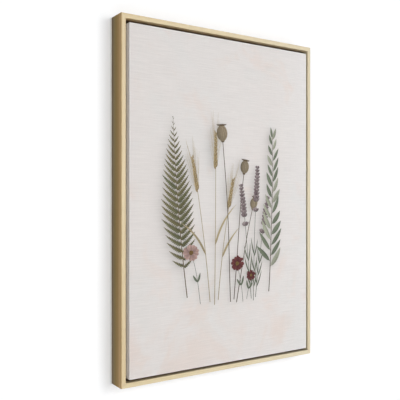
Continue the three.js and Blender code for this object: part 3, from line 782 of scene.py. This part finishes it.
def layer(inner):
    """One skin of the sheet. inner is False for the printed skin and True for the raw one behind it."""
    off = CLOTH_T if inner else 0.0
    P, T, border = (P1, T1, border1) if inner else (P0, T0, border0)
    yf = CLOTH_FRONT + off
    ids = []
    shade = np.zeros(len(P)) if inner else sample(shadow, P)
    for i, (x, z) in enumerate(P):
        ids.append(vert(x, yf, z, float(shade[i])))
    if inner:
        for t in T:
            w = [(P[k][0], P[k][1]) for k in t]
            face([ids[k] for k in t][::-1], 1, w[::-1], [bake_inner(*q) for q in w][::-1])
    else:
        colours = np.zeros((len(T), 3, 4))
        for s in np.unique(top0):
            if s < 0:
                continue
            sel = np.nonzero(top0 == s)[0]
            c = SHAPES[s][1](P[T[sel]].reshape(-1, 2)).reshape(-1, 3, 3)
            colours[sel, :, :3] = c
            colours[sel, :, 3] = 1.0
        for n, t in enumerate(T):
            w = [(P[k][0], P[k][1]) for k in t]
            face([ids[k] for k in t], 0, w, [bake_front(*q) for q in w], colours[n])
    # rows round the edge: distance out from the flat front, depth, and length along the cloth
    r1, r2 = EDGE_R - off, BACK_R - off
    rows = []
    for k in range(1, 5):
        a = (math.pi / 2) * k / 4
        rows.append((EDGE_R - off if k == 4 else r1 * math.sin(a), CLOTH_FRONT + off + r1 * (1 - math.cos(a)), EDGE_R * a))
    y_end = CLOTH_BACK - BACK_R
    length = EDGE_R * math.pi / 2
    for f in (0.33, 0.66, 1.0):
        y = (CLOTH_FRONT + EDGE_R) * (1 - f) + y_end * f
        rows.append((EDGE_R - off, y, length + f * (y_end - CLOTH_FRONT - EDGE_R)))
    grid = []
    prev = [ids[border[b]] for b in base_ids]
    run = [0.0]
    for i in range(1, len(LOOP)):
        run.append(run[-1] + math.hypot(LOOP[i][0] - LOOP[i - 1][0], LOOP[i][1] - LOOP[i - 1][1]) +
                   (EDGE_R * (math.pi / 10) if LOOP[i][3] == "corner" or LOOP[i - 1][3] == "corner" else 0))
    prev_row = (0.0, yf, 0.0)
    n = len(LOOP)

    def flatpos(i, s):
        x, z, d, side = LOOP[i]
        return (x + math.cos(d) * s, z + math.sin(d) * s)

    def bakepos(i, s, j):
        side = LOOP[j][3] if LOOP[j][3] != "corner" else LOOP[i][3]
        cx, cz = (STRIP_RAW if inner else STRIP)[side]
        x, z, d, _ = LOOP[i]
        if side in ("left", "right"):
            t = (z + FZ) / (2 * FZ) * 0.475
        elif side in ("top", "bottom"):
            t = (x + FX) / (2 * FX) * 0.318
        else:
            t = ((d % (2 * math.pi)) / (2 * math.pi)) * 0.25 + 0.01
        return (cx + 0.003 + s / 62.0 * 0.056, cz + t * (0.5 if inner else 1.0))

    for row in rows:
        cur = []
        for x, z, d, side in LOOP:
            cur.append(vert(x + math.cos(d) * row[0], row[1], z + math.sin(d) * row[0]))
        for i in range(n):
            j = (i + 1) % n
            quad = [prev[i], prev[j], cur[j], cur[i]]
            w = [flatpos(i, prev_row[2]), flatpos(j, prev_row[2]), flatpos(j, row[2]), flatpos(i, row[2])]
            b = [bakepos(i, prev_row[2], j), bakepos(j, prev_row[2], i), bakepos(j, row[2], i), bakepos(i, row[2], j)]
            if prev[i] == prev[j]:
                quad, w, b = quad[1:], w[1:], b[1:]
            if inner:
                quad, w, b = quad[::-1], w[::-1], b[::-1]
            face(quad, 1 if inner else 0, w, b)
        prev, prev_row = cur, row
    back_ring = prev
    # margins on the back, one strip a side; top and bottom lie over the ends of the side strips
    ends = {}
    for side in ("left", "top", "right", "bottom"):
        idx = [i for i in range(n) if LOOP[i][3] == side]
        over = side in ("top", "bottom")
        prow = [back_ring[i] for i in idx]
        pl = prev_row[2]
        ppos = [LOOP[i] for i in idx]
        strip_rows = [prow]
        lengths = [pl]
        for k in range(1, 4):
            a = (math.pi / 2) * k / 3
            strip_rows.append(("arc", a))
            lengths.append(pl + BACK_R * a)
        for f in (0.2, 0.4, 0.6, 0.8, 1.0):
            strip_rows.append(("flat", f))
            lengths.append(pl + BACK_R * math.pi / 2 + f * (MARGIN - BACK_R))
        made = [prow]
        for q, (kind, val) in enumerate(strip_rows[1:], 1):
            cur = []
            for i in idx:
                x, z, d, _ = LOOP[i]
                along = z if not over else x
                half = FZ if not over else FX
                if kind == "arc":
                    out = EDGE_R - BACK_R + (BACK_R - off) * math.cos(val)
                    y = CLOTH_BACK - BACK_R + (BACK_R - off) * math.sin(val)
                    inward = BACK_R * (1 - math.cos(val))
                else:
                    inward = BACK_R + val * (MARGIN - BACK_R)
                    out = EDGE_R - inward
                    y = CLOTH_BACK - off
                    # cut edge wanders a little, and pulls in between staples
                    if val == 1.0:
                        out += 0.7 * math.sin(along / 21.0 + (1 if side in ("left", "top") else 2.3)) + 0.35 * math.sin(along / 6.3)
                lift = 0.0
                a2 = along
                if over:
                    e = abs(along)
                    if e > half - 40:
                        a2 = math.copysign(half - 40 + (e - half + 40) * (40 - min(inward, 30.0)) / 40.0, along)
                    t = min(1.0, max(0.0, (e - (half - 62)) / 26.0))
                    lift = 0.52 * t * t * (3 - 2 * t) * min(1.0, inward / 2.4)
                else:
                    # side strips stop just short of the panel's corner
                    e = abs(along)
                    if e > half - 20:
                        a2 = math.copysign(half - 20 + (e - half + 20) * (20 - 0.9 * min(1.0, inward / 1.5)) / 20.0, along)
                px = x if over else x
                if over:
                    X, Z = a2, z + math.sin(d) * out
                else:
                    X, Z = x + math.cos(d) * out, a2
                cur.append(vert(X, y + lift, Z))
            made.append(cur)
        for q in range(1, len(made)):
            A, B = made[q - 1], made[q]
            for k in range(len(idx) - 1):
                i, j = idx[k], idx[k + 1]
                quad = [A[k], A[k + 1], B[k + 1], B[k]]
                w = [flatpos(i, lengths[q - 1]), flatpos(j, lengths[q - 1]), flatpos(j, lengths[q]), flatpos(i, lengths[q])]
                b = [bakepos(i, lengths[q - 1], j), bakepos(j, lengths[q - 1], i), bakepos(j, lengths[q], i), bakepos(i, lengths[q], j)]
                if inner:
                    quad, w, b = quad[::-1], w[::-1], b[::-1]
                face(quad, 1 if inner else 2, w, b)
        ends[side] = (idx, made)
    return back_ring, ends


ring_a, ends_a = layer(False)
ring_b, ends_b = layer(True)


def rim(a, b):
    """Closes the sheet's cut edge between the printed skin's points a and the raw skin's points b."""
    for k in range(len(a) - 1):
        u0, u1 = 0.99 - 0.004, 0.99
        face([a[k], b[k], b[k + 1], a[k + 1]], 1,
             [(VERTS[a[k]][0], VERTS[a[k]][2])] * 4, [(u0, 0.99), (u1, 0.99), (u1, 0.995), (u0, 0.995)])


n_loop = len(LOOP)
for side in ("left", "top", "right", "bottom"):
    idx, ma = ends_a[side]
    _, mb = ends_b[side]
    rim(ma[-1][::-1], mb[-1][::-1])                        # inner cut edge
    rim([r[0] for r in ma][::-1], [r[0] for r in mb][::-1])
    rim([r[-1] for r in ma], [r[-1] for r in mb])
for i in range(n_loop):
    j = (i + 1) % n_loop
    if LOOP[i][3] == "corner" or LOOP[j][3] == "corner" or LOOP[i][3] != LOOP[j][3]:
        rim([ring_a[i], ring_a[j]][::-1], [ring_b[i], ring_b[j]][::-1])

mesh = bpy.data.meshes.new("canvas_sheet")
mesh.from_pydata([((x + PANEL_X) * MM, y * MM, (z + PANEL_Z) * MM) for x, y, z in VERTS], [], FACES)
mesh.uv_layers.new(name="Weave")
mesh.uv_layers.new(name="OFBake")
inks = mesh.color_attributes.new("ink", "FLOAT_COLOR", "CORNER")
flat_w, flat_b, flat_c = [], [], []
for w, b, c, f in zip(WEAVE, BAKE, INK, FACES):
    for k in range(len(f)):
        flat_w.extend((w[k][0] * MM, w[k][1] * MM))
        flat_b.extend(b[k])
        flat_c.extend((0.0, 0.0, 0.0, 0.0) if c is None else c[k])
mesh.uv_layers["Weave"].data.foreach_set("uv", flat_w)
mesh.uv_layers["OFBake"].data.foreach_set("uv", flat_b)
inks.data.foreach_set("color", flat_c)
shade_attr = mesh.attributes.new("soft_shade", "FLOAT", "POINT")
shade_attr.data.foreach_set("value", SHADE)
mesh.polygons.foreach_set("material_index", MATS)
mesh.polygons.foreach_set("use_smooth", [True] * len(FACES))
mesh.validate(clean_customdata=False)
mesh.update()
canvas = bpy.data.objects.new("printed_canvas", mesh)
bpy.context.scene.collection.objects.link(canvas)


# ------------------------------------------------------------------ canvas materials
def weave_height(n, uv, pitch_w, pitch_h):
    """Plain weave: over-and-under threads in the cloth's own flat coordinates."""
    sep = n.add("ShaderNodeSeparateXYZ", {"Vector": uv})
    kx, kz = math.pi / pitch_w, math.pi / pitch_h
    sx = n.math("SINE", n.math("MULTIPLY", sep.outputs[0], kx))
    sz = n.math("SINE", n.math("MULTIPLY", sep.outputs[1], kz))
    cx = n.math("ABSOLUTE", sx)
    cz = n.math("ABSOLUTE", sz)
    over = n.math("MULTIPLY", sx, sz)
    warp = n.math("MULTIPLY", cx, n.math("ADD", n.math("MULTIPLY", over, 0.5), 0.5))
    weft = n.math("MULTIPLY", cz, n.math("SUBTRACT", 0.5, n.math("MULTIPLY", over, 0.5)))
    return n.math("MAXIMUM", warp, weft)


def cloth(name, printed, margin=False):
    n = Nodes(name)
    uv = n.add("ShaderNodeUVMap", uv_map="Weave").outputs[0]
    weave = weave_height(n, uv, 0.00053, 0.00048)
    slub_h = n.noise(n.mapping(uv, (21, 608, 1), (4.3, 188.1, 0)), 1.0, 4.0, 0.62)
    slub_v = n.noise(n.mapping(uv, (992, 13, 1), (208.9, 5.7, 0)), 1.0, 3.0, 0.6)
    if printed:
        wash1 = n.noise(n.mapping(uv, (11.5, 10.5, 1), (4.026, 2.778, 0)), 1.0, 4.0, 0.58, 0.6)
        wash2 = n.noise(n.mapping(uv, (10.24, 8.96, 1), (9.825, 6.872, 0)), 1.0, 4.0, 0.58, 0.8)
        grit = n.noise(n.mapping(uv, (144, 144, 1), (29.9, 44.6, 0)), 1.0, 4.0, 0.65)
        place = n.add("ShaderNodeSeparateXYZ", {"Vector": uv})
        low = n.math("MULTIPLY", n.span(place.outputs[1], -0.06, -0.24, 0.0, 0.13, True), n.span(place.outputs[0], -0.04, 0.07, 1.0, 0.25))
        wash1 = n.math("ADD", wash1, low)
        # the ground is warmer on the left and pales to the right; the paling is a painted light from the key lamp's
        # side
        col = n.ramp(n.span(place.outputs[0], -0.20, 0.20), [(0.0, tuple(lin(223, 217.8, 215.0))), (0.40, tuple(lin(224.0, 220.0, 217.6))),
                                                             (0.75, tuple(lin(226.6, 221.6, 219.0))), (1.0, tuple(lin(229.8, 226.8, 225.2)))])
        col = n.mix(n.span(wash1, 0.54, 0.76, 0.0, 1.0, True), col, (1.0, 0.935, 0.90), "MULTIPLY")
        col = n.mix(n.span(wash2, 0.48, 0.70, 0.0, 1.0, True), col, (0.978, 0.998, 1.0), "MULTIPLY")
        col = n.mix(n.span(grit, 0.35, 0.75, 0.0, 0.16), col, lin(211, 206, 203))
        shade = n.add("ShaderNodeAttribute", attribute_name="soft_shade").outputs["Fac"]
        col = n.mix(n.math("MULTIPLY", shade, 0.56), col, lin(128, 124, 122))
        paint = n.add("ShaderNodeAttribute", attribute_name="ink")
        body = n.mix(n.span(n.noise(n.mapping(uv, (416, 416, 1)), 1.0, 3.0, 0.6), 0.25, 0.8, 0.0, 0.34),
                     paint.outputs["Color"], lin(58, 54, 48), "SOFT_LIGHT")
        col = n.mix(paint.outputs["Alpha"], col, body)
        # painted highlight: the front pales within a few millimetres of the bars' edges, where the rounded edge would
        # catch light
        edge_highlight_dist = n.math("MAXIMUM", n.math("SUBTRACT", n.math("ABSOLUTE", place.outputs[0]), PANEL_W / 2 * MM),
                       n.math("SUBTRACT", n.math("ABSOLUTE", place.outputs[1]), PANEL_H / 2 * MM))
        col = n.mix(n.span(edge_highlight_dist, -0.0034, -0.0012, 0.0, 1.0, True), col, (1.065, 1.08, 1.085), "MULTIPLY")
        depth = n.add("ShaderNodeSeparateXYZ", {"Vector": object_coords(n)}).outputs[1]
        # round the edge the print runs out in a soft grey bleed, then bare primed cloth set paler the deeper it goes: a
        # painted light against the gap's shade
        side_tone_and_light = n.ramp(n.span(depth, CLOTH_FRONT * MM, (CLOTH_FRONT + 12.0) * MM),
                      [(0.0, tuple(lin(206, 203, 202))), (0.24, tuple(lin(213, 211, 211))), (0.46, tuple(lin(229, 228, 231))),
                       (0.72, tuple(lin(248, 248, 250))), (1.0, tuple(lin(250, 250, 252)))])
        # on the right the bleed starts deeper in, a painted highlight along that edge
        turn = n.math("SUBTRACT", depth, n.span(place.outputs[0], 0.12, 0.18, 0.0, 0.0011))      # it starts later on the right
        col = n.mix(n.span(turn, (CLOTH_FRONT + 0.4) * MM, (CLOTH_FRONT + 1.7) * MM, 0.0, 1.0, True), col, side_tone_and_light)
    elif margin:
        grit = n.noise(n.mapping(uv, (60, 60, 1)), 1.0, 4.0, 0.65)
        col = n.mix(n.span(grit, 0.35, 0.75), lin(228, 224, 216), lin(216, 210, 200))
    else:
        grit = n.noise(n.mapping(uv, (34, 34, 1)), 1.0, 4.0, 0.65)
        fleck = n.noise(n.mapping(uv, (160, 600, 1)), 1.0, 2.0, 0.5)
        col = n.mix(n.span(grit, 0.3, 0.75), lin(213, 201, 178), lin(204, 191, 166))
        col = n.mix(n.span(fleck, 0.66, 0.76, 0.0, 0.5, True), col, lin(150, 128, 96))
    k = n.span(slub_h, 0.25, 0.75, 0.930, 1.063)
    k = n.math("MULTIPLY", k, n.span(slub_v, 0.25, 0.75, 0.985, 1.012))
    # darker where the weave dips: a painted shade in the hollows between the threads
    k = n.math("MULTIPLY", k, n.span(weave, 0.15, 0.9, 0.955 if printed else 0.86, 1.02))
    val = n.add("ShaderNodeCombineColor")
    for i in range(3):
        n.put(val, i, k)
    col = n.mix(1.0, col, val.outputs[0], "MULTIPLY")
    n.put(n.bsdf, "Base Color", col)
    n.put(n.bsdf, "Roughness", n.span(weave, 0.1, 0.9, 0.92, 0.80))
    n.bsdf.inputs["Specular IOR Level"].default_value = 0.22
    h = n.math("ADD", weave, n.math("MULTIPLY", slub_h, 0.8))
    n.put(n.bsdf, "Normal", n.bump(h, 0.30 if printed else 0.5, 0.0003))
    return n.mat


mesh.materials.append(cloth("canvas_print", True))
mesh.materials.append(cloth("canvas_raw", False))
mesh.materials.append(cloth("canvas_margin", False, True))

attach(canvas, "root")
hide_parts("canvas")

# ------------------------------------------------------------------ softened arrises on the CAD pieces
for name, ob in NODES.items():
    if name.startswith(("rail_", "stretcher_")):
        b = ob.modifiers.new("arris", "BEVEL")
        b.width = 0.00018 if name.startswith("rail_") else 0.0003
        b.segments = 2
        b.limit_method = "ANGLE"
        b.angle_limit = math.radians(40)
        b.harden_normals = False

# ------------------------------------------------------------------ stage: wall and floor
def plane(name, corners, material):
    m = bpy.data.meshes.new(name)
    m.from_pydata(corners, [], [(0, 1, 2, 3)])
    m.materials.append(material)
    ob = bpy.data.objects.new(name, m)
    bpy.context.scene.collection.objects.link(ob)
    return ob


w = Nodes("stage_wall")
w.bsdf.inputs["Base Color"].default_value = (0.65, 0.66, 0.675, 1)
w.bsdf.inputs["Roughness"].default_value = 0.95
w.bsdf.inputs["Specular IOR Level"].default_value = 0.0
w.bsdf.inputs["Emission Color"].default_value = (1.0, 1.0, 1.0, 1)
spot = w.add("ShaderNodeSeparateXYZ", {"Vector": object_coords(w)})
off_x = w.math("SUBTRACT", w.math("ABSOLUTE", spot.outputs[0]), OUT_W / 2 * MM)
off_z = w.math("SUBTRACT", w.math("ABSOLUTE", w.math("SUBTRACT", spot.outputs[2], MID_Z * MM)), OUT_H / 2 * MM)
off = w.math("MAXIMUM", off_x, off_z)     # distance out from the frame's outline
# painted shadow on the wall: its glow is lowered in a soft halo round the frame, more in a thin line along the frame's
# outline, and a little above and below it
halo_shadow = w.math("MULTIPLY", w.span(off, 0.006, 0.036, 1.0, 0.0, True), 0.026)
contact_shadow = w.math("MULTIPLY", w.span(off, -0.0012, 0.0036, 1.0, 0.0, True), 0.255)
ends = w.math("MULTIPLY", w.span(off_z, 0.009, 0.034, 0.05, 0.0, True), w.span(off_x, -0.02, 0.004, 1.0, 0.0, True))
w.put(w.bsdf, "Emission Strength", w.math("SUBTRACT", w.math("SUBTRACT", w.math("SUBTRACT", 0.39, halo_shadow), contact_shadow), ends))
clear = w.add("ShaderNodeBsdfTransparent")
side = w.add("ShaderNodeNewGeometry").outputs["Backfacing"]
mixer = w.add("ShaderNodeMixShader", {0: side, 1: w.bsdf.outputs[0], 2: clear.outputs[0]})
w.tree.links.new(mixer.outputs[0], w.out.inputs["Surface"])
wall = plane("wall", [(-6, 0.0005, -1.55), (6, 0.0005, -1.55), (6, 0.0005, 4), (-6, 0.0005, 4)], w.mat)
wall.visible_diffuse = False
wall.visible_glossy = False
wall.visible_transmission = False
wall.visible_shadow = False


def floor_material(name, glow):
    f = Nodes(name)
    f.bsdf.inputs["Base Color"].default_value = (0.80, 0.79, 0.78, 1)
    f.bsdf.inputs["Roughness"].default_value = 0.9
    f.bsdf.inputs["Emission Color"].default_value = (1.0, 0.99, 0.98, 1)
    f.bsdf.inputs["Emission Strength"].default_value = glow
    return f.mat


# the floor that is seen, the one that returns light, and a pale surround that is only seen
turns = [(13 * math.cos(t), 13 * math.sin(t)) for t in np.linspace(0, 2 * math.pi, 48, endpoint=False)]
floor_mesh = bpy.data.meshes.new("floor")
floor_mesh.from_pydata([(x, y, -1.55) for x, y in turns], [], [tuple(range(48))])
floor_mesh.materials.append(floor_material("stage_floor", 0.50))
floor = bpy.data.objects.new("floor", floor_mesh)
bpy.context.scene.collection.objects.link(floor)
under = plane("floor_bounce", [(-8, -8, -1.551), (8, -8, -1.551), (8, 8, -1.551), (-8, 8, -1.551)], floor_material("stage_bounce", 0.0))
under.visible_camera = False
g = Nodes("stage_surround")
g.bsdf.inputs["Base Color"].default_value = (0.0, 0.0, 0.0, 1)
g.bsdf.inputs["Specular IOR Level"].default_value = 0.0
g.bsdf.inputs["Emission Color"].default_value = (1.0, 1.0, 1.0, 1)
g.bsdf.inputs["Emission Strength"].default_value = 0.80
around = [(x, y, z) for z in (-1.56, 9.0) for x, y in turns]
tube = [(i, (i + 1) % 48, 48 + (i + 1) % 48, 48 + i) for i in range(48)]
sky_mesh = bpy.data.meshes.new("surround")
sky_mesh.from_pydata(around, [], tube + [tuple(range(48, 96)), tuple(range(48))])
sky_mesh.materials.append(g.mat)
surround = bpy.data.objects.new("surround", sky_mesh)
bpy.context.scene.collection.objects.link(surround)
for ob in (floor, surround):
    ob.visible_diffuse = False
    ob.visible_glossy = False
    ob.visible_transmission = False
    ob.visible_shadow = False

# a black card behind the frame's outline, unseen: it keeps light from behind off the rails' outer sides
k = Nodes("stage_card")
k.bsdf.inputs["Base Color"].default_value = (0.0, 0.0, 0.0, 1)
k.bsdf.inputs["Specular IOR Level"].default_value = 0.0
CARD = 22.0
hx, hz = (OUT_W / 2 - 1) * MM, (OUT_H / 2 - 1) * MM
ring = [(sx * (hx + e), 0.0008, MID_Z * MM + sz * (hz + e)) for e in (0.0, CARD * MM) for sx, sz in ((-1, -1), (1, -1), (1, 1), (-1, 1))]
card_mesh = bpy.data.meshes.new("card")
card_mesh.from_pydata(ring, [], [(i, (i + 1) % 4, 4 + (i + 1) % 4, 4 + i) for i in range(4)])
card_mesh.materials.append(k.mat)
card = bpy.data.objects.new("card", card_mesh)
bpy.context.scene.collection.objects.link(card)
card.visible_camera = False
card.visible_glossy = False
card.visible_shadow = False

# ------------------------------------------------------------------ light
scene = bpy.context.scene
scene.view_settings.view_transform = "Standard"
world = bpy.data.worlds.new("studio")
scene.world = world
world.use_nodes = True
world.node_tree.nodes["Background"].inputs[0].default_value = (1.0, 1.0, 1.0, 1)
world.node_tree.nodes["Background"].inputs[1].default_value = 0.21


def area(name, loc, target, size, power, colour=(1, 1, 1)):
    d = bpy.data.lights.new(name, "AREA")
    d.shape = "SQUARE"
    d.size = size
    d.energy = power
    d.color = colour
    ob = bpy.data.objects.new(name, d)
    ob.location = loc
    ob.rotation_mode = "QUATERNION"
    ob.rotation_quaternion = (Vector(target) - Vector(loc)).to_track_quat("-Z", "Y")
    scene.collection.objects.link(ob)
    return ob


mid = (0.0, -0.03, MID_Z * MM)
area("key", (0.78, -2.46, 0.12), mid, 1.25, 37)
area("fill", (-1.62, -1.82, -0.25), mid, 0.9, 17)
area("back", (0.28, 2.45, 0.95), mid, 0.8, 52)
area("top", (0.55, 0.5, 1.75), (0.0, -0.02, 0.0), 0.6, 20)

# ------------------------------------------------------------------ camera: level with the middle, from the front left
THETA = math.radians(33.216)
cam_data = bpy.data.cameras.new("camera")
cam_data.sensor_width = 36.0
cam_data.lens = 598.95 / 400.0 * 36.0
cam = bpy.data.objects.new("camera", cam_data)
cam.location = (-0.6493, -0.9452, (MID_Z + 1.085) * MM)
fwd = Vector((math.sin(THETA), math.cos(THETA), 0.0))
cam.rotation_mode = "QUATERNION"
cam.rotation_quaternion = fwd.to_track_quat("-Z", "Y")
scene.collection.objects.link(cam)
scene.camera = cam
